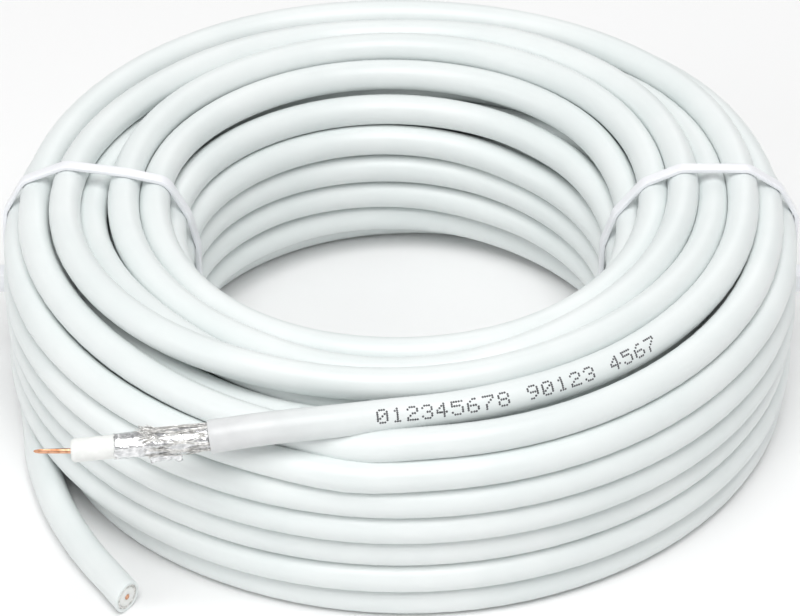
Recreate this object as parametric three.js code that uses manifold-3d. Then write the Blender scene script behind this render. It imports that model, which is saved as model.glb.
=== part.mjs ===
// A hand-sized coil of white coaxial cable, lying flat and held by two plastic ties.
// Millimetres, +Z up. The origin is on the floor under the middle of the coil.
import * as THREE from "three";
import { mergeVertices } from "three/addons/utils/BufferGeometryUtils.js";
import Module from "manifold-3d";

const wasm = await Module();
wasm.setup();

// The cable.
const cableDiameter = 6.8;
const jacketWall = 0.65;
const braidWall = 0.2;
const foilWall = 0.12;
const layerClearance = 0.06;
const conductorDiameter = 1.1;

// The coil as it lies: its bore, its outside and its height.
const boreDiameter = 90;
const coilOuterDiameter = 171.4;
const coilHeight = 49.6;
const topInnerInset = 5.6;
const topInnerDrop = 1.8;
const topOuterInset = 3.2;
const topOuterDrop = 3.6;
const bottomInnerInset = 5.2;
const bottomOuterInset = 2.7;
const ringSegments = 56;

// The ties, in two planes through the coil's axis.
const tieWidth = 2.6;
const tieThickness = 1.0;
const tieAngles = { tie_right: 5.5, tie_left: 174.5 };
const tieGap = 0.35;
const tieHeadLength = 4.6;
const tieHeadWidth = 4.4;
const tieHeadDepth = 3.0;
const tieHeadHeight = 20;

// What touches keeps this gap.
const seatGap = 0.3;

// The stripped end, measured outwards from the mouth of the jacket.
const braidLength = 12.8;
const foilLength = 19.2;
const dielectricLength = 28.1;
const conductorLength = 35.7;
const seatDepth = 6;

// The other end is cut square, its layers a little below the cut.
const cutDepth = 6;
const cutRecess = 0.3;

const tubeSides = 12;
const coreSides = 12;

const radius = cableDiameter / 2;
const octagonReach = radius / Math.cos(Math.PI / 8);
const wallInnerRadius = boreDiameter / 2 + radius;
const wallOuterRadius = coilOuterDiameter / 2 - radius;
const topLevel = coilHeight - radius;

// A point of a loose end: its angle round the axis in degrees, its distance out from the line
// round the outside of the coil, and its height.
function besideCoil([degrees, past, height]) {
  const angle = (degrees * Math.PI) / 180;
  const reach = coilOuterDiameter / 2 + past;
  return [reach * Math.cos(angle), reach * Math.sin(angle), height];
}

// The last turn leaves the top of the coil at the front and ends stripped, past the outer turns.
const leadPoints = [
  [281.1, -13.1, topLevel - 0.7],
  [274.7, -12.5, topLevel - 0.8],
  [267.7, -10.5, topLevel - 0.3],
  [261.1, -7.3, topLevel + 0.2],
  [255.1, -3.6, topLevel + 0.5],
  [249.7, 0.6, topLevel + 0.4],
  [244.8, 4.7, topLevel - 0.6],
].map(besideCoil);
const leadTip = besideCoil([228.4, 26.0, topLevel - 2.7]);

// The first turn leaves the foot of the coil at the left and lies out on the floor.
const tailPoints = [
  [189.6, -4.6, radius],
  [197.0, -3.5, radius],
  [204.3, -0.9, radius],
  [210.6, 1.4, radius],
  [217.3, 4.3, radius],
  [225.2, 7.9, radius],
  [232.1, 11.4, radius],
  [235.3, 13.6, radius],
].map(besideCoil);

// A closed geometry as a solid for cutting.
function solidOf(geometry) {
  const bare = geometry.clone();
  bare.deleteAttribute("normal");
  bare.deleteAttribute("uv");
  const merged = mergeVertices(bare, 1e-4);
  return new wasm.Manifold(
    new wasm.Mesh({
      numProp: 3,
      vertProperties: new Float32Array(merged.attributes.position.array),
      triVerts: new Uint32Array(merged.index.array),
    }),
  );
}

function geometryOf(solid) {
  const mesh = solid.getMesh();
  const geometry = new THREE.BufferGeometry();
  geometry.setAttribute("position", new THREE.BufferAttribute(mesh.vertProperties, 3));
  geometry.setIndex(new THREE.BufferAttribute(mesh.triVerts, 1));
  geometry.computeVertexNormals();
  return geometry;
}

// The main body of a cut solid, without the shavings that a cut leaves along a crest.
function largestOf(solid) {
  return solid.decompose().reduce((a, b) => (b.volume() > a.volume() ? b : a));
}

// The centres of the turns that show on the section of the coil, from the foot of the bore round
// by the floor, the outer wall, the top and the bore wall.
function outlineTurns() {
  const footInner = [wallInnerRadius + bottomInnerInset, radius];
  const footOuter = [wallOuterRadius - bottomOuterInset, radius];
  const topOuter = [wallOuterRadius - topOuterInset, topLevel - topOuterDrop];
  const topInner = [wallInnerRadius + topInnerInset, topLevel - topInnerDrop];
  const turns = [];
  const steps = (from, to) => Math.max(2, Math.round(Math.abs(to - from) / cableDiameter));
  const bottomSteps = steps(footInner[0], footOuter[0]);
  for (let i = 0; i <= bottomSteps; i++) {
    const share = i / bottomSteps;
    turns.push([footInner[0] + (footOuter[0] - footInner[0]) * share, radius]);
  }
  const outerSteps = steps(footOuter[1], topOuter[1]);
  for (let i = 1; i < outerSteps; i++) {
    const height = footOuter[1] + ((topOuter[1] - footOuter[1]) * i) / outerSteps;
    turns.push([wallOuterRadius, height]);
  }
  turns.push(topOuter);
  const topSteps = steps(topOuter[0], topInner[0]);
  for (let i = 1; i < topSteps; i++) {
    turns.push([topOuter[0] + ((topInner[0] - topOuter[0]) * i) / topSteps, topLevel]);
  }
  turns.push(topInner);
  const innerSteps = steps(topInner[1], footInner[1]);
  for (let i = 1; i < innerSteps; i++) {
    const height = topInner[1] + ((footInner[1] - topInner[1]) * i) / innerSteps;
    turns.push([wallInnerRadius, height]);
  }
  return turns;
}

// The outward direction of the line from one centre to the next, as an angle.
function outwardAngle(from, to) {
  return Math.atan2(-(to[0] - from[0]), to[1] - from[1]);
}

// Every turn shows the corners of an octagon that face out, with a crease between neighbours.
function ringProfile(turns) {
  const creaseRise = radius * 0.38;
  const sight = (40 * Math.PI) / 180;
  const points = [];
  turns.forEach((turn, i) => {
    const before = turns[(i + turns.length - 1) % turns.length];
    const after = turns[(i + 1) % turns.length];
    const start = outwardAngle(before, turn);
    let end = outwardAngle(turn, after);
    while (end < start - Math.PI / 2) end += 2 * Math.PI;
    for (let k = -8; k <= 16; k++) {
      const angle = ((k + 0.5) * Math.PI) / 4;
      if (angle < start - sight || angle > end + sight) continue;
      points.push([
        turn[0] + octagonReach * Math.cos(angle),
        turn[1] + octagonReach * Math.sin(angle),
      ]);
    }
    points.push([
      (turn[0] + after[0]) / 2 + creaseRise * Math.cos(end),
      (turn[1] + after[1]) / 2 + creaseRise * Math.sin(end),
    ]);
  });
  points.push(points[0]);
  return points;
}

// The corners of the line drawn tight round a set of centres, anticlockwise.
function tightLoop(centres) {
  const sorted = [...centres].sort((a, b) => a[0] - b[0] || a[1] - b[1]);
  const bend = (a, b, c) => (b[0] - a[0]) * (c[1] - a[1]) - (b[1] - a[1]) * (c[0] - a[0]);
  const half = (list) => {
    const kept = [];
    for (const p of list) {
      while (kept.length > 1 && bend(kept[kept.length - 2], kept[kept.length - 1], p) < 1e-6) {
        kept.pop();
      }
      kept.push(p);
    }
    kept.pop();
    return kept;
  };
  return [...half(sorted), ...half(sorted.reverse())];
}

// That line moved outwards, with an arc of short facets round each corner.
function offsetLoop(corners, distance) {
  const arcSteps = 5;
  const points = [];
  corners.forEach((corner, i) => {
    const before = corners[(i + corners.length - 1) % corners.length];
    const after = corners[(i + 1) % corners.length];
    const start = outwardAngle(before, corner);
    let end = outwardAngle(corner, after);
    while (end < start) end += 2 * Math.PI;
    const stepCount = Math.max(1, Math.ceil(((end - start) / Math.PI) * 2 * arcSteps));
    const step = (end - start) / stepCount;
    for (let k = 0; k < stepCount; k++) {
      const angle = start + (k + 0.5) * step;
      const reach = distance / Math.cos(step / 2);
      points.push(
        new THREE.Vector2(
          corner[0] + reach * Math.cos(angle),
          corner[1] + reach * Math.sin(angle),
        ),
      );
    }
  });
  return points;
}

// A band round the section of the coil, in the plane of the section and centred on it.
function bandGeometry(turns, innerDistance, outerDistance, width) {
  const lift = tieThickness + tieGap;
  const lifted = turns.map(([r, z]) => [r, Math.max(z, radius + lift)]);
  const corners = tightLoop(lifted);
  const shape = new THREE.Shape(offsetLoop(corners, outerDistance));
  shape.holes.push(new THREE.Path(offsetLoop(corners, innerDistance)));
  const band = new THREE.ExtrudeGeometry(shape, { depth: width, bevelEnabled: false, steps: 1 });
  return band.translate(0, 0, -width / 2);
}

// Turns a section drawn as radius and height into its upright plane at an angle round the axis.
function standUp(geometry, degrees) {
  return geometry.rotateX(Math.PI / 2).rotateZ((degrees * Math.PI) / 180);
}

// A round bar along a smooth route.
function barGeometry(points, barRadius, steps) {
  const path = new THREE.CatmullRomCurve3(points.map((p) => new THREE.Vector3(...p)));
  const outline = [];
  for (let i = 0; i < tubeSides; i++) {
    const angle = ((i + 0.5) * 2 * Math.PI) / tubeSides;
    outline.push(new THREE.Vector2(barRadius * Math.cos(angle), barRadius * Math.sin(angle)));
  }
  return new THREE.ExtrudeGeometry(new THREE.Shape(outline), {
    steps,
    extrudePath: path,
    bevelEnabled: false,
  });
}

// A turned sleeve about the line through an end of the cable, from one distance to another.
function sleeveGeometry(innerRadius, outerRadius, from, to, origin, direction) {
  const profile =
    innerRadius > 0
      ? [
          [innerRadius, from],
          [outerRadius, from],
          [outerRadius, to],
          [innerRadius, to],
          [innerRadius, from],
        ]
      : [
          [0, from],
          [outerRadius, from],
          [outerRadius, to],
          [0, to],
        ];
  const points = profile.map(([x, y]) => new THREE.Vector2(x, y));
  const sleeve = new THREE.LatheGeometry(points, coreSides);
  const turn = new THREE.Quaternion().setFromUnitVectors(new THREE.Vector3(0, 1, 0), direction);
  return sleeve.applyQuaternion(turn).translate(origin.x, origin.y, origin.z);
}

// The room that a loose end needs where it lies against the coil.
function channelOf(points, steps) {
  const bar = solidOf(barGeometry(points, radius + seatGap, steps));
  const pocket = new THREE.SphereGeometry(radius + seatGap, tubeSides, 8);
  pocket.translate(...points[0]);
  return bar.add(solidOf(pocket));
}

const turns = outlineTurns();
const leadSteps = 12;
const tailSteps = 14;

// The coil: one turned ring with its turns as ridges, a shallow groove under each tie, and the
// beds of the two loose ends.
function coilGeometry() {
  const profile = ringProfile(turns).map(([x, y]) => new THREE.Vector2(x, y));
  let ring = solidOf(new THREE.LatheGeometry(profile, ringSegments).rotateX(Math.PI / 2));
  const floorCut = new THREE.BoxGeometry(3 * coilOuterDiameter, 3 * coilOuterDiameter, cableDiameter * 2);
  floorCut.translate(0, 0, radius - seatGap);
  const lowPart = solidOf(floorCut);
  for (const degrees of Object.values(tieAngles)) {
    const room = bandGeometry(
      turns,
      radius + tieGap - seatGap,
      radius + tieGap + tieThickness + seatGap,
      tieWidth + 2 * seatGap,
    );
    ring = ring.subtract(solidOf(standUp(room, degrees)).intersect(lowPart));
  }
  ring = ring.subtract(channelOf(leadPoints, leadSteps));
  ring = ring.subtract(channelOf(tailPoints, tailSteps));
  return geometryOf(largestOf(ring));
}

// A strap with the small square head that locks it, on the outer wall.
function tieGeometry(degrees) {
  const inner = radius + tieGap;
  const strap = solidOf(standUp(bandGeometry(turns, inner, inner + tieThickness, tieWidth), degrees));
  const head = new THREE.BoxGeometry(tieHeadDepth, tieHeadWidth, tieHeadLength);
  const seat = wallOuterRadius + inner + tieThickness / 2;
  head.translate(seat + tieHeadDepth / 2, 0, tieHeadHeight);
  head.rotateZ((degrees * Math.PI) / 180);
  return geometryOf(strap.add(solidOf(head)));
}

const braidOuter = radius - jacketWall - layerClearance;
const braidInner = braidOuter - braidWall;
const foilOuter = braidInner - layerClearance;
const foilInner = foilOuter - foilWall;
const dielectricOuter = foilInner - layerClearance;
const conductorRadius = conductorDiameter / 2;
const dielectricBore = conductorRadius + layerClearance;

const white = new THREE.MeshStandardMaterial({ color: 0xe7ecea, roughness: 0.42, metalness: 0 });
const tieWhite = new THREE.MeshStandardMaterial({ color: 0xf2f4f8, roughness: 0.35, metalness: 0 });
const braidMetal = new THREE.MeshStandardMaterial({ color: 0xb9b4ac, roughness: 0.38, metalness: 1 });
const foilMetal = new THREE.MeshStandardMaterial({ color: 0xc9ccd0, roughness: 0.25, metalness: 1 });
const foam = new THREE.MeshStandardMaterial({ color: 0xf0f1ee, roughness: 0.55, metalness: 0 });
const copper = new THREE.MeshStandardMaterial({ color: 0xb5673c, roughness: 0.3, metalness: 1 });

const coil = new THREE.Group();
function addPiece(name, geometry, material) {
  const piece = new THREE.Mesh(geometry, material);
  piece.name = name;
  coil.add(piece);
}

addPiece("cable_coil", coilGeometry(), white);
for (const [name, degrees] of Object.entries(tieAngles)) {
  addPiece(name, tieGeometry(degrees), tieWhite);
}

// The stripped end: jacket, braid, foil, dielectric and conductor, one inside the other.
const leadMouth = new THREE.Vector3(...leadPoints[leadPoints.length - 1]);
const leadAxis = new THREE.Vector3(...leadTip).sub(leadMouth).normalize();
const leadBore = sleeveGeometry(
  0,
  braidOuter + layerClearance,
  -seatDepth,
  cableDiameter,
  leadMouth,
  leadAxis,
);
const leadBar = solidOf(barGeometry(leadPoints, radius, leadSteps));
addPiece("stripped_end_jacket", geometryOf(leadBar.subtract(solidOf(leadBore))), white);
const seatBack = -seatDepth + layerClearance;
addPiece(
  "stripped_end_braid",
  sleeveGeometry(braidInner, braidOuter, seatBack, braidLength, leadMouth, leadAxis),
  braidMetal,
);
addPiece(
  "stripped_end_foil",
  sleeveGeometry(foilInner, foilOuter, seatBack, foilLength, leadMouth, leadAxis),
  foilMetal,
);
addPiece(
  "stripped_end_dielectric",
  sleeveGeometry(dielectricBore, dielectricOuter, seatBack, dielectricLength, leadMouth, leadAxis),
  foam,
);
addPiece(
  "stripped_end_conductor",
  sleeveGeometry(0, conductorRadius, seatBack, conductorLength, leadMouth, leadAxis),
  copper,
);

// The cut end: the same layers, shown as rings on a square cut.
const cutFace = new THREE.Vector3(...tailPoints[tailPoints.length - 1]);
const beforeCut = new THREE.Vector3(...tailPoints[tailPoints.length - 2]);
const cutAxis = cutFace.clone().sub(beforeCut).normalize();
const cutBore = sleeveGeometry(
  0,
  braidOuter + layerClearance,
  -cutDepth,
  cableDiameter,
  cutFace,
  cutAxis,
);
const tailBar = solidOf(barGeometry(tailPoints, radius, tailSteps));
addPiece("cut_end_jacket", geometryOf(tailBar.subtract(solidOf(cutBore))), white);
const cutBack = -cutDepth + layerClearance;
addPiece(
  "cut_end_braid",
  sleeveGeometry(foilInner, braidOuter, cutBack, -cutRecess, cutFace, cutAxis),
  braidMetal,
);
addPiece(
  "cut_end_dielectric",
  sleeveGeometry(dielectricBore, dielectricOuter, cutBack, -cutRecess, cutFace, cutAxis),
  foam,
);
addPiece(
  "cut_end_conductor",
  sleeveGeometry(0, conductorRadius, cutBack, -cutRecess, cutFace, cutAxis),
  copper,
);

export default coil;
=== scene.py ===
# A coil of white coaxial cable on a pale floor: one long cable, two ties, a stripped end and a cut end.
# Metres, in the same frame as the part: +Z up, the origin on the floor under the middle of the coil.
import math

import bmesh
import bpy
import numpy as np
from mathutils import Matrix, Vector, noise


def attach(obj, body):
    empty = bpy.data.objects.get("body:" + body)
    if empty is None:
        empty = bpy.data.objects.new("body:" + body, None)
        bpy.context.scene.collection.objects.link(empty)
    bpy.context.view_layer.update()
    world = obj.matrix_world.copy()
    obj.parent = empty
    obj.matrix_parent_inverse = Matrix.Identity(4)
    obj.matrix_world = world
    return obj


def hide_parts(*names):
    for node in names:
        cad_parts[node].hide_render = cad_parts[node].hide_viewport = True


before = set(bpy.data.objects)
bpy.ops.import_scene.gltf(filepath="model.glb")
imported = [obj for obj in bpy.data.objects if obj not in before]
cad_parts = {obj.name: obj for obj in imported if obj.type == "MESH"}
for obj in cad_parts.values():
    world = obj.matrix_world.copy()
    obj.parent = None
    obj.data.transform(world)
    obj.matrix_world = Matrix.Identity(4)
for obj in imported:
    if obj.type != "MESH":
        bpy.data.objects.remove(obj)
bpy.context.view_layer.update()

scene = bpy.context.scene
mm = 0.001

# The camera stands in front of the coil and looks down on it at about 36 degrees, through a long
# lens from a metre away, so that the coil fills the width of the frame.
camera_tilt = math.radians(36.2)
camera_distance = 1.0
camera_aim = Vector((0.0, 0.0, 18 * mm))
camera_data = bpy.data.cameras.new("camera")
camera_data.sensor_width = 36.0
camera_data.lens = 204.5
camera = bpy.data.objects.new("camera", camera_data)
camera.location = camera_aim + camera_distance * Vector((0.0, -math.cos(camera_tilt), math.sin(camera_tilt)))
camera.rotation_euler = (math.pi / 2 - camera_tilt, 0.0, 0.0)
scene.collection.objects.link(camera)
scene.camera = camera

# The cable is one white PVC jacket from end to end, wound by hand into forty turns. Its first turn
# lies outermost on the floor, the next twenty are hidden, and the rest come up through the top,
# down the bore, out along the floor, up the outside and off the top.
cable_diameter = 6.8 * mm
cable_radius = cable_diameter / 2
tie_azimuths = {"tie_right": 5.5, "tie_left": 174.5}
tie_thickness = 1.0 * mm
tie_gap = 0.15 * mm

# Eight places of a turn, as radius and height in millimetres, clockwise from the left:
# left, back left, back, back right, right, front right, front, front left.
first_turn = [
    (80.4, 3.4), (80.6, 3.4), (81.0, 3.4), (81.4, 3.4), (81.7, 3.4), (81.7, 3.4), (81.7, 3.4), (78.8, 3.4),
]
shown_turns = [
    # It rises from the second layer, and is the widest ridge of the top at the front.
    [(66.9, 43.3), (66.6, 39.9), (67.6, 37.9), (72.6, 41.6),
     (67.6, 45.2), (65.2, 47.4), (66.0, 47.1), (70.5, 48.2)],
    # The top turns, each one a place further in.
    [(72.4, 47.2), (69.5, 46.6), (70.6, 43.9), (67.3, 46.0),
     (61.2, 47.2), (58.4, 46.6), (59.3, 44.6), (58.9, 45.2)],
    [(59.8, 46.2), (62.8, 45.6), (64.0, 44.8), (60.6, 45.2),
     (54.9, 44.5), (51.9, 44.0), (52.3, 44.6), (52.3, 43.8)],
    # Down the bore.
    [(53.2, 45.0), (55.9, 43.1), (57.5, 41.6), (54.7, 41.4),
     (50.3, 38.2), (49.0, 37.6), (49.4, 38.0), (49.2, 37.6)],
    [(49.8, 38.6), (51.6, 37.0), (51.4, 36.2), (50.0, 35.0),
     (48.4, 31.4), (48.3, 31.0), (48.3, 31.2), (48.3, 31.0)],
    [(48.4, 31.6), (48.4, 31.0), (48.6, 29.8), (48.4, 26.8),
     (48.4, 24.6), (48.4, 24.2), (48.4, 24.4), (48.4, 24.2)],
    [(48.4, 24.8), (48.4, 24.2), (48.4, 22.6), (48.4, 20.0),
     (48.4, 17.8), (48.4, 17.5), (48.4, 17.6), (48.4, 17.5)],
    [(48.4, 17.8), (48.4, 17.2), (48.5, 15.4), (48.5, 13.0),
     (48.6, 11.0), (48.7, 10.7), (48.7, 10.8), (48.7, 10.7)],
    [(48.9, 10.7), (48.8, 10.0), (49.4, 8.6), (52.0, 5.0),
     (53.4, 3.4), (53.5, 3.4), (53.5, 3.4), (53.5, 3.4)],
    # Out along the floor.
    [(53.5, 3.4), (53.6, 3.4), (55.0, 3.4), (58.0, 3.4),
     (60.1, 3.4), (60.2, 3.4), (60.2, 3.4), (60.2, 3.4)],
    [(60.3, 3.4), (60.5, 3.4), (62.0, 3.4), (65.0, 3.4),
     (66.9, 3.4), (67.0, 3.4), (67.0, 3.4), (67.0, 3.4)],
    [(67.1, 3.4), (67.4, 3.4), (69.0, 3.4), (72.0, 3.4),
     (73.7, 3.4), (73.8, 3.4), (73.8, 3.4), (74.3, 5.6)],
    # Up the outside.
    [(75.8, 9.8), (77.0, 10.0), (79.5, 10.0), (81.8, 10.1),
     (82.5, 10.1), (82.7, 10.1), (82.7, 10.0), (82.5, 10.2)],
    [(82.4, 10.4), (82.5, 11.0), (82.5, 13.4), (82.4, 16.0),
     (82.3, 16.9), (82.3, 16.8), (82.3, 16.8), (82.2, 17.0)],
    [(82.3, 17.2), (82.6, 17.8), (82.7, 20.2), (82.8, 22.8),
     (83.0, 23.6), (83.3, 23.5), (83.3, 23.4), (83.0, 23.6)],
    [(82.6, 23.9), (82.8, 24.6), (82.8, 27.0), (82.9, 29.6),
     (83.0, 30.3), (83.2, 30.2), (83.3, 30.2), (83.0, 30.4)],
    [(82.8, 30.7), (82.8, 31.4), (82.7, 33.2), (82.7, 35.2),
     (82.7, 36.4), (82.0, 36.4), (82.7, 36.9), (81.6, 37.0)],
    # Over the outer edge of the top, and the turn that ends in the stripped end.
    [(82.6, 37.3), (83.0, 37.8), (82.3, 38.1), (83.0, 38.6),
     (79.9, 42.0), (79.2, 42.4), (80.2, 42.2), (77.0, 42.6)],
    [(79.3, 43.5), (80.0, 44.4), (78.5, 44.2), (78.8, 44.6),
     (74.3, 46.2), (71.9, 45.8), (73.9, 45.4), (90.0, 46.0)],
]
# The hidden turns fill rows across the section, one row on another, in and out by turns. No two
# that follow each other change places, so that none crosses through another.
hidden_radii = [75.4, 68.7, 62.0, 55.3]
hidden_heights = [10.2, 16.9, 23.6]
last_hidden = [
    (55.3, 30.3), (56.0, 37.0), (62.0, 30.3), (68.7, 30.3),
    (75.4, 30.3), (75.6, 37.0), (69.6, 36.9), (63.4, 39.2),
]
rise_front = (63.9, 39.5)
rise_front_left = (65.3, 45.4)
# At the front left one hidden turn shows, low between the widest top turn and the outer edge.
shows_low = (71.2, 40.1)
shows_low_turn = 19

# The two loose ends: angle round the axis, radius and height, from the coil outwards.
coil_reach = 85.7
lead_points = [
    (281.1, coil_reach - 13.1, 45.5), (274.7, coil_reach - 12.5, 45.4), (267.7, coil_reach - 10.5, 45.9),
    (261.1, coil_reach - 7.3, 46.4), (255.1, coil_reach - 3.6, 46.7), (249.7, coil_reach + 0.6, 46.6),
    (244.8, coil_reach + 4.7, 45.6),
]
lead_tip = (228.4, coil_reach + 26.0, 43.5)
tail_points = [
    (189.6, coil_reach - 4.6, 3.4), (197.0, coil_reach - 3.5, 3.4), (204.3, coil_reach - 0.9, 3.4),
    (210.6, coil_reach + 1.4, 3.4), (217.3, coil_reach + 4.3, 3.4), (225.2, coil_reach + 7.9, 3.4),
    (232.1, coil_reach + 11.4, 3.4), (235.3, coil_reach + 13.6, 3.4),
]

# A hidden turn leaves the place of the turn before it in the first half of its round.
places_a_turn = 8
front_left = 7
change_start = 0.5
change_run = 4
places = list(first_turn)
held = [True] * len(places)
hidden_places = []
for row, height in enumerate(hidden_heights):
    radii = hidden_radii if row % 2 == 0 else hidden_radii[::-1]
    hidden_places += [(radius, height) for radius in radii]
hidden_places += last_hidden
before = (73.4, 3.4)
for here in hidden_places:
    for eighth in range(places_a_turn):
        share = min(1.0, max(0.0, (eighth - change_start) / change_run))
        share = share * share * (3 - 2 * share)
        places.append(tuple(a + (b - a) * share for a, b in zip(before, here)))
        held.append(False)
    before = here
places[-2:] = [rise_front, rise_front_left]
held[-1] = True
places[shows_low_turn * places_a_turn + front_left] = shows_low
held[shows_low_turn * places_a_turn + front_left] = True
# The start of the second turn is held inwards, clear of the loose end beside it.
held[places_a_turn] = True
for turn in shown_turns:
    places += turn
    held += [True] * places_a_turn

# The path is worked out at stations round each turn, counted clockwise from the left. The last turn
# goes over into its loose end at the leave angle, counted the same way.
turn_count = len(places) // places_a_turn
stations = 96
leave_angle = 252.0
leave_station = int(leave_angle / 360 * stations)


def smooth_through(points, steps):
    """A smooth line through points, cut at the steps, which count in points."""
    points = np.array(points, float)
    first = np.clip(np.floor(steps).astype(int), 0, len(points) - 1)
    t = (steps - first)[:, None]
    a = points[np.clip(first - 1, 0, len(points) - 1)]
    b = points[first]
    c = points[np.clip(first + 1, 0, len(points) - 1)]
    d = points[np.clip(first + 2, 0, len(points) - 1)]
    return 0.5 * (2 * b + (c - a) * t + (2 * a - 5 * b + 4 * c - d) * t**2 + (3 * b - a - 3 * c + d) * t**3)


def settle(wanted, firm, fixed, last_beside):
    """Eases the turns towards lying beside and on each other a diameter apart, station by station."""
    rounds = 500
    jitter = 0.05 * mm
    fixed_gives = 0.001
    firm_gives = 0.2
    firm_returns = 0.1
    firm_smooths = 0.2
    loose_smooths = 0.35
    tie_spread = 8
    innermost = 48 * mm
    outermost = 83.8 * mm
    rng = np.random.default_rng(1)
    loose = ~firm
    line = wanted + rng.normal(0, jitter, wanted.shape) * loose[:, None]
    easy = np.where(fixed, fixed_gives, np.where(firm, firm_gives, 1.0)).reshape(turn_count, stations).T
    yields = easy[:, :, None] / (easy[:, :, None] + easy[:, None, :])
    azimuth = 180 - np.arange(stations) * 360 / stations
    lift = np.zeros(stations)
    for angle in tie_azimuths.values():
        away = (azimuth - angle + 180) % 360 - 180
        lift += np.exp(-((away / tie_spread) ** 2)) * (tie_thickness + tie_gap)
    floor = np.tile(cable_radius + lift, turn_count)
    closest = cable_diameter + 0.04 * mm
    apart = np.eye(turn_count)
    for _ in range(rounds):
        section = line.reshape(turn_count, stations, 2).transpose(1, 0, 2)
        between = section[:, :, None] - section[:, None, :]
        distance = np.sqrt((between**2).sum(-1)) + apart
        overlap = np.maximum(closest - distance, 0)
        overlap[last_beside:, -1, :] = 0
        overlap[last_beside:, :, -1] = 0
        push = between / distance[..., None] * (overlap * yields)[..., None]
        line = (section + push.sum(2) / 2).transpose(1, 0, 2).reshape(-1, 2)
        line += (wanted - line) * np.where(firm, firm_returns, 0.0)[:, None]
        middle = line.copy()
        middle[1:-1] = (line[:-2] + line[2:]) / 2
        line += (middle - line) * np.where(firm, firm_smooths, loose_smooths)[:, None]
        line[:, 1] = np.maximum(line[:, 1], floor)
        line[:, 0] = np.clip(line[:, 0], innermost, outermost)
        line[fixed] = wanted[fixed]
    return line


def upright(angle, radius, height):
    """A point from its angle round the axis in degrees, its radius and its height."""
    return Vector((radius * math.cos(math.radians(angle)), radius * math.sin(math.radians(angle)), height))


station_steps = np.arange(turn_count * stations) * places_a_turn / stations
wanted_line = smooth_through(np.array(places) * mm, station_steps)
firm_stations = np.interp(station_steps, np.arange(len(held)), np.array(held, float)) > 0.5

# Where the lead passes over the outer turns, they give way to it.
station_angle = 360 / stations
left_a_round_on = 180 + 360
lead_first = math.ceil((left_a_round_on - lead_points[0][0]) / station_angle)
lead_last = math.floor((left_a_round_on - lead_points[-1][0]) / station_angle)
fixed_stations = np.zeros(turn_count * stations, bool)
for station in range(lead_first, lead_last + 1):
    passed = station * station_angle - left_a_round_on
    index = (turn_count - 1) * stations + station
    for column in (0, 1):
        wanted_line[index, column] = mm * np.interp(
            passed, [-point[0] for point in lead_points], [point[column + 1] for point in lead_points]
        )
    fixed_stations[index] = True
turn_line = settle(wanted_line, firm_stations, fixed_stations, lead_last + 1)


def station_place(index):
    """Where the middle of the cable is at a station, counted from the start of the first turn."""
    radius, height = turn_line[index]
    return upright(180 - index * station_angle, radius, height)


# Each loose end joins the turns through three of their stations, two apart.
guide_step = 0.25
tail_guide = [upright(a, r * mm, h * mm) for a, r, h in tail_points[::-1]]
tail_guide += [station_place(i) for i in (0, 2, 4)]
last_kept = (turn_count - 1) * stations + leave_station
lead_guide = [station_place(last_kept + i) for i in (-4, -2, 0)]
lead_guide += [upright(a, r * mm, h * mm) for a, r, h in lead_points]
tail_line = smooth_through(tail_guide, np.arange(0, len(tail_points) + 1, guide_step))
lead_line = smooth_through(lead_guide, np.arange(1, len(lead_guide) - 1 + guide_step / 2, guide_step))
cable_path = [Vector(p) for p in tail_line]
cable_path += [station_place(index) for index in range(2, last_kept - 2)]
cable_path += [Vector(p) for p in lead_line]

# The jacket is a tube along that path, flared a little at the mouth and open for some way at each end.
jacket_wall = 0.65 * mm
mouth_depth = 5.0 * mm
mouth_flare = 0.04
flare_reach = 1.5 * mm
rim_rounding = 0.1 * mm
guide = bpy.data.curves.new("cable", "CURVE")
guide.dimensions = "3D"
guide.bevel_depth = cable_radius
guide.bevel_resolution = 8
spline = guide.splines.new("POLY")
spline.points.add(len(cable_path) - 1)
for point, place in zip(spline.points, cable_path):
    point.co = (*place, 1.0)
    point.radius = 1.0 + mouth_flare * math.exp(-(place - cable_path[-1]).length / flare_reach)
guide_object = bpy.data.objects.new("cable_guide", guide)
scene.collection.objects.link(guide_object)
bpy.context.view_layer.update()
depsgraph = bpy.context.evaluated_depsgraph_get()
cable_mesh = bpy.data.meshes.new_from_object(guide_object.evaluated_get(depsgraph))
bpy.data.objects.remove(guide_object)

jacket = bmesh.new()
jacket.from_mesh(cable_mesh)
bmesh.ops.remove_doubles(jacket, verts=jacket.verts, dist=1e-6)
for face in jacket.faces:
    face.smooth = True
for end, inner in ((cable_path[0], cable_path[1]), (cable_path[-1], cable_path[-2])):
    rim = [e for e in jacket.edges if e.is_boundary and (e.verts[0].co - end).length < 1.3 * cable_radius]
    wall = bmesh.ops.extrude_edge_only(jacket, edges=rim)["geom"]
    for vert in wall:
        if isinstance(vert, bmesh.types.BMVert):
            vert.co = end.lerp(vert.co, 1 - jacket_wall / cable_radius)
    lip = [edge for edge in wall if isinstance(edge, bmesh.types.BMEdge) and edge.is_boundary]
    bore = bmesh.ops.extrude_edge_only(jacket, edges=lip)["geom"]
    bottom = [vert for vert in bore if isinstance(vert, bmesh.types.BMVert)]
    bmesh.ops.translate(jacket, verts=bottom, vec=(inner - end).normalized() * mouth_depth)
    bmesh.ops.holes_fill(
        jacket, edges=[e for e in bore if isinstance(e, bmesh.types.BMEdge) and e.is_boundary], sides=0
    )
    bmesh.ops.bevel(
        jacket, geom=rim + lip, offset=rim_rounding, affect="EDGES", segments=2, profile=0.5, material=-1
    )
bmesh.ops.recalc_face_normals(jacket, faces=jacket.faces)

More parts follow.
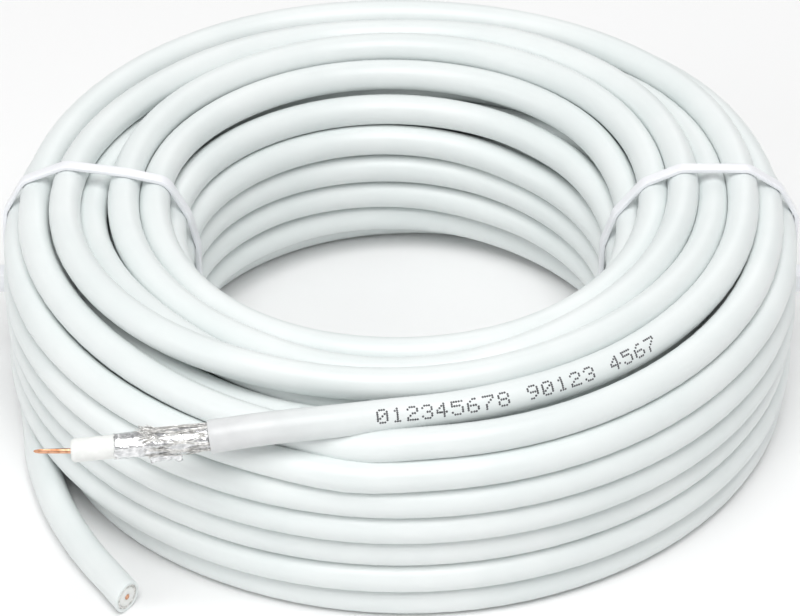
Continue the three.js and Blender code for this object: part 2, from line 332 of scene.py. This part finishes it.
# The plain end was nipped off at a slant, so its near side is longer than its far side.
cut_slant = 0.4
slant_reach = 5.2 * mm
cut_along = (cable_path[0] - cable_path[1]).normalized()
cut_side = cut_along.cross(Vector((0, 0, 1))).normalized()
for vert in jacket.verts:
    offset = vert.co - cable_path[0]
    if offset.length < slant_reach and offset.dot(cut_along) > -slant_reach:
        near = 1 - min(1.0, max(0.0, -offset.dot(cut_along) / slant_reach))
        vert.co += cut_along * offset.dot(cut_side) * cut_slant * near
jacket.to_mesh(cable_mesh)
jacket.free()
cable = bpy.data.objects.new("cable", cable_mesh)
scene.collection.objects.link(cable)


def finish_material(name, colour, roughness, metallic=0.0):
    """A node material for one finish: the material, its node tree and its main shader."""
    material = bpy.data.materials.new(name)
    material.use_nodes = True
    tree = material.node_tree
    shader = tree.nodes["Principled BSDF"]
    shader.inputs["Base Color"].default_value = (*colour, 1.0)
    shader.inputs["Roughness"].default_value = roughness
    shader.inputs["Metallic"].default_value = metallic
    return material, tree, shader


def grain(tree, scale, detail=4.0, roughness=0.5):
    """Noise in the object's own metres."""
    place = tree.nodes.new("ShaderNodeTexCoord")
    texture = tree.nodes.new("ShaderNodeTexNoise")
    texture.inputs["Scale"].default_value = scale
    texture.inputs["Detail"].default_value = detail
    texture.inputs["Roughness"].default_value = roughness
    tree.links.new(place.outputs["Object"], texture.inputs["Vector"])
    return texture.outputs["Fac"]


def between_colours(tree, factor, low, high, start=0.35, end=0.65):
    """A ramp from one colour to another, driven by a factor."""
    ramp = tree.nodes.new("ShaderNodeValToRGB")
    ramp.color_ramp.elements[0].position = start
    ramp.color_ramp.elements[0].color = (*low, 1.0)
    ramp.color_ramp.elements[1].position = end
    ramp.color_ramp.elements[1].color = (*high, 1.0)
    tree.links.new(factor, ramp.inputs["Fac"])
    return ramp.outputs["Color"]


def roughen(tree, shader, height, distance, strength):
    """Small relief on a shader from a height."""
    bump = tree.nodes.new("ShaderNodeBump")
    bump.inputs["Distance"].default_value = distance
    bump.inputs["Strength"].default_value = strength
    tree.links.new(height, bump.inputs["Height"])
    tree.links.new(bump.outputs["Normal"], shader.inputs["Normal"])


jacket_white, tree, shader = finish_material("white_pvc_jacket", (0.80, 0.84, 0.835), 0.36)
clean = between_colours(tree, grain(tree, 45), (0.77, 0.815, 0.81), (0.82, 0.855, 0.85))
# A greyer white for the jacket, mixed in by a share that grows towards the stripped mouth.
greyer_near_mouth = between_colours(tree, grain(tree, 190), (0.66, 0.67, 0.675), (0.72, 0.73, 0.735))
grey_share = tree.nodes.new("ShaderNodeAttribute")
grey_share.attribute_name = "greyer_near_mouth"
jacket_mix = tree.nodes.new("ShaderNodeMix")
jacket_mix.data_type = "RGBA"
tree.links.new(grey_share.outputs["Fac"], jacket_mix.inputs["Factor"])
tree.links.new(clean, jacket_mix.inputs["A"])
tree.links.new(greyer_near_mouth, jacket_mix.inputs["B"])
tree.links.new(jacket_mix.outputs["Result"], shader.inputs["Base Color"])
tree.links.new(
    between_colours(tree, grain(tree, 260), (0.3, 0.3, 0.3), (0.42, 0.42, 0.42)),
    shader.inputs["Roughness"],
)
roughen(tree, shader, grain(tree, 700, 2.0), 0.05 * mm, 0.25)
cable_mesh.materials.clear()
cable_mesh.materials.append(jacket_white)

# The jacket is mixed to a greyer white towards the stripped mouth, and is clean again a little further on.
grey_reach = 22 * mm
grey_points = 60
corners = np.empty(len(cable_mesh.vertices) * 3, np.float32)
cable_mesh.vertices.foreach_get("co", corners)
corners = corners.reshape(-1, 3)
lead_end = np.array([tuple(p) for p in cable_path[-grey_points:]], np.float32)
steps_back = np.linalg.norm(np.diff(lead_end, axis=0), axis=1)
to_mouth = np.concatenate([np.cumsum(steps_back[::-1])[::-1], [0.0]])
apart = np.linalg.norm(corners[:, None, :] - lead_end[None, :, :], axis=2)
nearest = apart.argmin(axis=1)
shade = np.exp(-((to_mouth[nearest] / grey_reach) ** 2)) * (apart.min(axis=1) < 1.15 * cable_radius)
layer = cable_mesh.attributes.new("greyer_near_mouth", "FLOAT", "POINT")
layer.data.foreach_set("value", shade.astype(np.float32))
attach(cable, "root")
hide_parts("cable_coil", "stripped_end_jacket", "cut_end_jacket")


# The stripped end shows the layers under the jacket, each cut back further than the one inside it.
# They are turned shapes about the line of the lead, and each stands free of the next by a hair.
def end_frame(origin, direction):
    """The place of an end: its +Z runs out along the cable and its +X is as near up as it can be."""
    along = direction.normalized()
    up = (Vector((0, 0, 1)) - along * along.z).normalized()
    side = along.cross(up)
    return Matrix.Translation(origin) @ Matrix((up, side, along)).transposed().to_4x4()


def turned(outline, closed, steps=48):
    """A shape turned round +Z from an outline of (radius, distance) points."""
    shape = bmesh.new()
    points = [shape.verts.new((r, 0.0, z)) for r, z in outline]
    ends = points[1:] + points[:1] if closed else points[1:]
    edges = [shape.edges.new(pair) for pair in zip(points, ends)]
    bmesh.ops.spin(
        shape, geom=points + edges, cent=(0, 0, 0), axis=(0, 0, 1), angle=2 * math.pi, steps=steps,
        use_merge=True,
    )
    bmesh.ops.remove_doubles(shape, verts=shape.verts, dist=1e-6)
    bmesh.ops.recalc_face_normals(shape, faces=shape.faces)
    return shape


def finished(name, shape, place, material, smooth=True):
    """The object for a shape, put where it belongs, with its finish."""
    bmesh.ops.transform(shape, matrix=place, verts=shape.verts)
    for face in shape.faces:
        face.smooth = smooth
    mesh = bpy.data.meshes.new(name)
    shape.to_mesh(mesh)
    shape.free()
    mesh.materials.append(material)
    piece = bpy.data.objects.new(name, mesh)
    scene.collection.objects.link(piece)
    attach(piece, "root")
    return piece


dielectric_length = 28.1 * mm
core_droop = 0.85 * mm
wire_rise = 2.6


def drooped(shape):
    """Lets the bared core hang a little from the mouth; past the foam the wire is bent up again."""
    for vert in shape.verts:
        share = max(0.0, vert.co.z / dielectric_length)
        vert.co.x -= core_droop * (share if share < 1 else 1 - wire_rise * (share - 1))
    return shape


mouth = upright(lead_points[-1][0], lead_points[-1][1] * mm, lead_points[-1][2] * mm)
tip = upright(lead_tip[0], lead_tip[1] * mm, lead_tip[2] * mm)
stripped_place = end_frame(mouth, tip - mouth)
seat_depth = 4.6 * mm
rng = np.random.default_rng(7)

# The conductor is bare copper wire, drawn smooth. The cutters pinched its tip flat, down to a point.
conductor_radius = 0.55 * mm
conductor_length = 35.7 * mm
tip_taper = 1.4 * mm
tip_radius = 0.34 * mm
tip_point = 0.3 * mm
tip_flat = 0.55
near_enough = 0.1 * mm
copper, tree, shader = finish_material("bare_copper", (0.72, 0.36, 0.2), 0.3, 1.0)
tree.links.new(
    between_colours(tree, grain(tree, 900), (0.5, 0.22, 0.11), (0.85, 0.47, 0.3)), shader.inputs["Base Color"]
)
roughen(tree, shader, grain(tree, 2500, 2.0), 0.03 * mm, 0.4)
outline = [
    (0, -seat_depth), (conductor_radius, -seat_depth), (conductor_radius, 0),
    (conductor_radius, dielectric_length), (conductor_radius, conductor_length - tip_taper),
    (tip_radius, conductor_length - tip_point), (0, conductor_length),
]
wire = turned(outline, False, 20)
for vert in wire.verts:
    if vert.co.z > conductor_length - tip_taper - near_enough:
        vert.co.y *= tip_flat
conductor = finished("conductor", drooped(wire), stripped_place, copper)
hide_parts("stripped_end_conductor")

# The dielectric is foamed polyethylene, cut through with a knife and a little rounded at the cut.
dielectric_radius = 2.42 * mm
foam_bore = 0.62 * mm
bore_lip = 0.85 * mm
lip_depth = 0.25 * mm
rounding = 0.9 * mm
rounding_steps = 6
foam, tree, shader = finish_material("white_foam", (0.86, 0.87, 0.85), 0.6)
tree.links.new(
    between_colours(tree, grain(tree, 500), (0.83, 0.84, 0.82), (0.89, 0.9, 0.88)),
    shader.inputs["Base Color"],
)
roughen(tree, shader, grain(tree, 2200, 3.0), 0.06 * mm, 0.5)
outline = [(foam_bore, 0), (foam_bore, -seat_depth), (dielectric_radius, -seat_depth), (dielectric_radius, 0)]
for step in range(rounding_steps + 1):
    bend = math.pi / 2 * step / rounding_steps
    outline.append((
        dielectric_radius - rounding + rounding * math.cos(bend),
        dielectric_length - rounding + rounding * math.sin(bend),
    ))
outline += [(bore_lip, dielectric_length), (foam_bore, dielectric_length - lip_depth)]
dielectric = finished("dielectric", drooped(turned(outline, True)), stripped_place, foam)
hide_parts("stripped_end_dielectric")

# The screen's foil is thin bright aluminium lapped round the foam, crinkled, with a torn edge.
foil_radius = 2.6 * mm
foil_length = 19.2 * mm
foil_rings = 70
foil_sheet = 0.04 * mm
inside_jacket = 2.5 * mm
on_foam = 2.47 * mm
crinkle = 0.16 * mm
lap_angle = math.radians(-72)
lap_width = 1.2
lap_rise = 0.16 * mm
swell_rise = 0.16 * mm
swell_length = 13 * mm
tear_depth = 0.9 * mm
tear_from = 0.93
foil_metal, tree, shader = finish_material("crinkled_foil", (0.78, 0.79, 0.81), 0.26, 1.0)
tree.links.new(
    between_colours(tree, grain(tree, 900), (0.62, 0.63, 0.64), (0.95, 0.95, 0.96)),
    shader.inputs["Base Color"],
)
roughen(tree, shader, grain(tree, 1300, 3.0), 0.25 * mm, 0.9)
foil_line = [
    (foil_radius, -seat_depth + (foil_length + seat_depth) * i / foil_rings) for i in range(foil_rings + 1)
]
wrap = turned(foil_line, False, 72)
for vert in wrap.verts:
    angle = math.atan2(vert.co.y, vert.co.x)
    round_it = Vector((math.cos(angle), math.sin(angle), 0))
    wave = noise.noise(round_it * 3.1 + Vector((0, 0, vert.co.z * 620)))
    wave += 0.6 * abs(noise.noise(round_it * 7.0 + Vector((5, 0, vert.co.z * 1500))))
    past_lap = (angle - lap_angle + 0.12 * noise.noise(Vector((0, 9, vert.co.z * 700)))) % (2 * math.pi)
    lap = lap_rise * max(0.0, 1 - past_lap / lap_width)
    swell = swell_rise * max(0.0, math.sin(math.pi * min(1.0, max(0.0, vert.co.z / swell_length))))
    out = max(on_foam, foil_radius + crinkle * wave + lap + swell) if vert.co.z > 0 else inside_jacket
    torn = max(0.0, vert.co.z / foil_length - tear_from) / (1 - tear_from)
    tear = torn * tear_depth * noise.noise(round_it * 4.2)
    vert.co = round_it * out + Vector((0, 0, vert.co.z + tear))
bmesh.ops.solidify(wrap, geom=wrap.faces[:], thickness=foil_sheet)

# A strip of the foil has torn and hangs under the braid.
flap_drop = 1.9 * mm
flap_middle = 9 * mm
flap_run = 6.5 * mm
flap_start = Vector((-2.2 * mm, -1.8 * mm, flap_middle))
flap_ragged = 0.6 * mm
flap_ripple = 0.25 * mm
flap = bmesh.new()
bmesh.ops.create_grid(flap, x_segments=6, y_segments=14, size=0.5)
for vert in flap.verts:
    across, along = vert.co.x, vert.co.y
    down = (across + 0.5) * flap_drop * (0.7 + 0.5 * abs(along))
    ragged = flap_ragged * noise.noise(Vector((along * 7, 3, across))) * (across + 0.5)
    ripple = flap_ripple * noise.noise(Vector((along * 5, across * 3, 8)))
    vert.co = flap_start + Vector((ragged - down, ripple, along * flap_run))
bmesh.ops.solidify(flap, geom=flap.faces[:], thickness=foil_sheet)
bmesh.ops.recalc_face_normals(flap, faces=flap.faces)
flap_mesh = bpy.data.meshes.new("flap")
flap.to_mesh(flap_mesh)
flap.free()
wrap.from_mesh(flap_mesh)
bpy.data.meshes.remove(flap_mesh)
foil = finished("foil", drooped(wrap), stripped_place, foil_metal)
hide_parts("stripped_end_foil")

# The braid is fine tinned wire laid both ways over the foil, loosened where the jacket came off.
# Its wires end unevenly, and a tuft of them stands up at the top.
braid_length = 12.8 * mm
braid_radius = 2.7 * mm
braid_seated = 2.0 * mm
seated_radius = 2.66 * mm
strands = 9
wires_each = 3
wire_points = 36
wire_radius = 0.085 * mm
twist = 60.0
weave_depth = 0.09 * mm
braid_swell = 0.26 * mm
fray_length = 2.2 * mm
tuft_wires = 26
tuft_steps = 8
tuft_radius = 2.85 * mm
braid_metal, tree, shader = finish_material("tinned_wire", (0.62, 0.6, 0.56), 0.34, 1.0)
tree.links.new(
    between_colours(tree, grain(tree, 1100), (0.45, 0.44, 0.42), (0.94, 0.93, 0.91)),
    shader.inputs["Base Color"],
)
roughen(tree, shader, grain(tree, 3000, 2.0), 0.03 * mm, 0.5)
wires = bpy.data.curves.new("braid", "CURVE")
wires.dimensions = "3D"
wires.bevel_depth = wire_radius
wires.bevel_resolution = 0
wires.use_fill_caps = True
for way in (1, -1):
    for strand in range(strands):
        for number in range(wires_each):
            start = 2 * math.pi * strand / strands + (number - 1.5) * 0.075
            end = braid_length + rng.uniform(-1.6, 1.2) * mm
            loose = rng.uniform(0.0, 0.45) * mm
            wander = rng.uniform(-0.05, 0.05)
            spline = wires.splines.new("POLY")
            spline.points.add(wire_points - 1)
            for i, point in enumerate(spline.points):
                z = -braid_seated + (end + braid_seated) * i / (wire_points - 1)
                angle = start + way * twist * z + wander * math.sin(z * 900 + strand)
                over = way * weave_depth * math.cos(strands * twist * z + math.pi * strand)
                swell = braid_swell * math.sin(math.pi * min(1.0, max(0.0, z / braid_length))) ** 0.6
                fray = loose * max(0.0, (z - braid_length + fray_length) / fray_length) ** 2
                out = (seated_radius if z < 0 else braid_radius + over + swell) + fray
                point.co = (out * math.cos(angle), out * math.sin(angle), z, 1.0)
for number in range(tuft_wires):
    angle = rng.uniform(-0.7, 0.6)
    rise = rng.uniform(0.2, 1.0) * mm
    begin = rng.uniform(10.0, 11.5) * mm
    reach = rng.uniform(2.2, 4.2) * mm
    lean = rng.uniform(-0.5, 0.5)
    spline = wires.splines.new("POLY")
    spline.points.add(tuft_steps)
    for i, point in enumerate(spline.points):
        share = i / tuft_steps
        out = tuft_radius + rise * share**1.5
        here = angle + lean * share
        point.co = (out * math.cos(here), out * math.sin(here), begin + reach * share, 1.0)
wire_object = bpy.data.objects.new("braid_guide", wires)
scene.collection.objects.link(wire_object)
bpy.context.view_layer.update()
depsgraph = bpy.context.evaluated_depsgraph_get()
wire_mesh = bpy.data.meshes.new_from_object(wire_object.evaluated_get(depsgraph))
bpy.data.objects.remove(wire_object)
screen = bmesh.new()
screen.from_mesh(wire_mesh)
bmesh.ops.remove_doubles(screen, verts=screen.verts, dist=1e-6)
braid = finished("braid", drooped(screen), stripped_place, braid_metal)
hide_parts("stripped_end_braid")

# The other end is cut through every layer at the same slant, and shows them as rings: a ring of cut
# wire, the foam and the copper in the middle. The wire stands unevenly where the cutters left it.
ring_edge = 0.06 * mm
uneven_wire = 0.3 * mm
cut_face = upright(tail_points[-1][0], tail_points[-1][1] * mm, tail_points[-1][2] * mm)
cut_place = end_frame(cut_face, cut_face - cable_path[1])
cut_layers = {
    "cut_braid": ((2.2, 2.7, -0.15), braid_metal, "braid", "cut_end_braid"),
    "cut_dielectric": ((0.6, 2.15, -0.1), foam, "dielectric", "cut_end_dielectric"),
    "cut_conductor": ((0.0, 0.55, 0.05), copper, "conductor", "cut_end_conductor"),
}
for name, ((inner, outer, level), material, slot, node) in cut_layers.items():
    low, high = -seat_depth, level * mm
    outline = [
        (inner * mm, low), (outer * mm, low), (outer * mm, high - ring_edge), (outer * mm - ring_edge, high),
        (inner * mm + (ring_edge if inner else 0), high),
    ]
    if inner:
        outline.append((inner * mm, high - ring_edge))
    layer_shape = turned(outline, bool(inner))
    for vert in layer_shape.verts:
        if vert.co.z > high - 2 * ring_edge:
            if name == "cut_braid":
                vert.co.z += uneven_wire * noise.noise(vert.co * 1900)
            vert.co.z += cut_slant * vert.co.y
    cut_layer = finished(name, layer_shape, cut_place, material)
    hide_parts(node)

# The ties are smooth nylon straps pulled round the whole section, each locked by a small head on the
# outer wall. A strap runs straight from one turn to the next and is rounded at its edges.
tie_width = 2.6 * mm
head_size = (3.0 * mm, 4.4 * mm, 4.6 * mm)
head_height = 20 * mm
strap_steps = 160
strap_rounding = 0.25 * mm
head_rounding = 0.45 * mm
sharp_angle = 1.0
nylon, tree, shader = finish_material("white_nylon", (0.88, 0.89, 0.92), 0.28)
tree.links.new(
    between_colours(tree, grain(tree, 120), (0.86, 0.87, 0.9), (0.91, 0.92, 0.95)),
    shader.inputs["Base Color"],
)
roughen(tree, shader, grain(tree, 900, 2.0), 0.03 * mm, 0.2)


def strap_line(azimuth):
    """The line of a strap's outer face round the section at an azimuth, as (radius, height) points."""
    station = (180 - azimuth) / station_angle
    low, share = int(station), station % 1
    lift = tie_thickness + tie_gap
    centres = []
    for turn in range(turn_count):
        a, b = turn_line[turn * stations + low], turn_line[turn * stations + low + 1]
        radius, height = a + (b - a) * share
        centres.append((radius, max(height, cable_radius + lift)))
    around = []
    for step in range(strap_steps):
        angle = 2 * math.pi * step / strap_steps
        far = max(centres, key=lambda c: c[0] * math.cos(angle) + c[1] * math.sin(angle))
        reach = cable_radius + tie_gap + tie_thickness
        around.append((far[0] + reach * math.cos(angle), far[1] + reach * math.sin(angle)))
    return around


for name, azimuth in tie_azimuths.items():
    strap = bmesh.new()
    loop = [strap.verts.new((r, -tie_width / 2, z)) for r, z in strap_line(azimuth)]
    rim = [strap.edges.new(pair) for pair in zip(loop, loop[1:] + loop[:1])]
    drawn = bmesh.ops.extrude_edge_only(strap, edges=rim)["geom"]
    far_side = [vert for vert in drawn if isinstance(vert, bmesh.types.BMVert)]
    bmesh.ops.translate(strap, verts=far_side, vec=(0, tie_width, 0))
    bmesh.ops.recalc_face_normals(strap, faces=strap.faces)
    bmesh.ops.solidify(strap, geom=strap.faces[:], thickness=tie_thickness)
    bmesh.ops.recalc_face_normals(strap, faces=strap.faces)
    sharp = [e for e in strap.edges if len(e.link_faces) == 2 and e.calc_face_angle() > sharp_angle]
    bmesh.ops.bevel(
        strap, geom=sharp, offset=strap_rounding, affect="EDGES", segments=3, profile=0.5, material=-1,
        clamp_overlap=True,
    )
    head = bmesh.ops.create_cube(strap, size=1.0)["verts"]
    bmesh.ops.scale(strap, vec=head_size, verts=head)
    line = strap_line(azimuth)
    outside = max(
        a[0] + (b[0] - a[0]) * (head_height - a[1]) / (b[1] - a[1])
        for a, b in zip(line, line[1:] + line[:1])
        if (a[1] - head_height) * (b[1] - head_height) < 0
    )
    head_radius = outside - tie_thickness / 2 + head_size[0] / 2
    bmesh.ops.translate(strap, vec=(head_radius, 0, head_height), verts=head)
    head_edges = list({edge for vert in head for edge in vert.link_edges})
    bmesh.ops.bevel(
        strap, geom=head_edges, offset=head_rounding, affect="EDGES", segments=3, profile=0.5, material=-1
    )
    tie = finished(name + "_strap", strap, Matrix.Rotation(math.radians(azimuth), 4, "Z"), nylon)
    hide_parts(name)

# The print is dot-matrix ink, a row of plain running digits along the last turn.
ink, tree, shader = finish_material("print_ink", (0.09, 0.09, 0.1), 0.6)
tree.links.new(
    between_colours(tree, grain(tree, 1800), (0.05, 0.05, 0.055), (0.16, 0.16, 0.17)),
    shader.inputs["Base Color"],
)
printed = "012345678 90123 4567"
digit_rows = {
    "0": "01110 10001 10011 10101 11001 10001 01110",
    "1": "00100 01100 00100 00100 00100 00100 01110",
    "2": "01110 10001 00001 00110 01000 10000 11111",
    "3": "01110 10001 00001 00110 00001 10001 01110",
    "4": "00010 00110 01010 10010 11111 00010 00010",
    "5": "11111 10000 11110 00001 00001 10001 01110",
    "6": "00110 01000 10000 11110 10001 10001 01110",
    "7": "11111 00001 00010 00100 01000 01000 01000",
    "8": "01110 10001 10001 01110 10001 10001 01110",
    "9": "01110 10001 10001 01111 00001 00010 01100",
}
digit_pitch = 3.17 * mm
dot_across = 0.5 * mm
dot_up = 0.44 * mm
dot_radius = 0.25 * mm
ink_gap = 0.005 * mm
ink_thickness = 0.06 * mm
first_digit_angle = 266.4
print_tilt = math.radians(36)
middle_row = 3
look_back = 0.5 * mm
# The row turns with the cable only in part, so that it stays on the side that faces up and forwards.
turns_with_cable = 0.35
front = math.radians(-90)
printed_points = 150
beside_start = 60
lead_run = cable_path[-printed_points:]
run_at = np.concatenate([[0.0], np.cumsum([(b - a).length for a, b in zip(lead_run, lead_run[1:])])])
run_xyz = np.array([tuple(p) for p in lead_run])
first_at = min(
    range(beside_start, len(lead_run)),
    key=lambda i: abs(math.degrees(math.atan2(lead_run[i].y, lead_run[i].x)) % 360 - first_digit_angle),
)
marks = bmesh.new()
for number, digit in enumerate(printed):
    for row, dots in enumerate(digit_rows.get(digit, "").split()):
        for column, dot in enumerate(dots):
            if dot == "0":
                continue
            back = run_at[first_at] - number * digit_pitch - column * dot_across
            here, behind = (
                Vector([np.interp(s, run_at, run_xyz[:, k]) for k in range(3)])
                for s in (back, back - look_back)
            )
            along = (behind - here).normalized()
            turn = front + turns_with_cable * (math.atan2(here.y, here.x) - front)
            level = Vector((math.cos(turn), math.sin(turn), 0))
            face = level * math.cos(print_tilt) + Vector((0, 0, math.sin(print_tilt)))
            face = (face - along * face.dot(along)).normalized()
            up = face.cross(along)
            lean = (middle_row - row) * dot_up / cable_radius
            normal = face * math.cos(lean) + up * math.sin(lean)
            spot = here + normal * (cable_radius + ink_gap)
            place = Matrix.Translation(spot) @ normal.to_track_quat("Z", "Y").to_matrix().to_4x4()
            bmesh.ops.create_cone(
                marks, cap_ends=True, segments=8, radius1=dot_radius, radius2=dot_radius * 0.8,
                depth=ink_thickness, matrix=place,
            )
print_piece = finished("printed_digits", marks, Matrix.Identity(4), ink, smooth=False)

# The pale floor is a plain wide sheet, and the light is soft: a bright room all round, one wide
# softbox above and in front, and weaker ones at the left and behind. The plain view transform keeps
# the jacket's white from turning grey.
floor_sheet = bmesh.new()
bmesh.ops.create_grid(floor_sheet, x_segments=1, y_segments=1, size=3.0)
floor_mesh = bpy.data.meshes.new("floor")
floor_sheet.to_mesh(floor_mesh)
floor_sheet.free()
floor = bpy.data.objects.new("floor", floor_mesh)
scene.collection.objects.link(floor)
pale, tree, shader = finish_material("pale_floor", (0.9, 0.9, 0.9), 0.9)
tree.links.new(
    between_colours(tree, grain(tree, 3), (0.895, 0.895, 0.895), (0.905, 0.905, 0.905)),
    shader.inputs["Base Color"],
)
floor_mesh.materials.append(pale)

world = bpy.data.worlds.new("room")
scene.world = world
world.use_nodes = True
world.node_tree.nodes["Background"].inputs["Color"].default_value = (1.0, 1.0, 1.0, 1.0)
world.node_tree.nodes["Background"].inputs["Strength"].default_value = 0.47
scene.view_settings.view_transform = "Standard"
softboxes = {
    "softbox_top": ((0.0, -0.6, 1.4), 1.0, 15.5),
    "softbox_left": ((-1.2, -0.7, 0.8), 0.7, 3.0),
    "softbox_back": ((0.4, 1.3, 1.0), 0.8, 2.5),
}
for name, (place, size, power) in softboxes.items():
    lamp = bpy.data.lights.new(name, "AREA")
    lamp.size = size
    lamp.energy = power
    lamp_object = bpy.data.objects.new(name, lamp)
    lamp_object.location = place
    lamp_object.rotation_euler = (camera_aim - Vector(place)).to_track_quat("-Z", "Y").to_euler()
    scene.collection.objects.link(lamp_object)
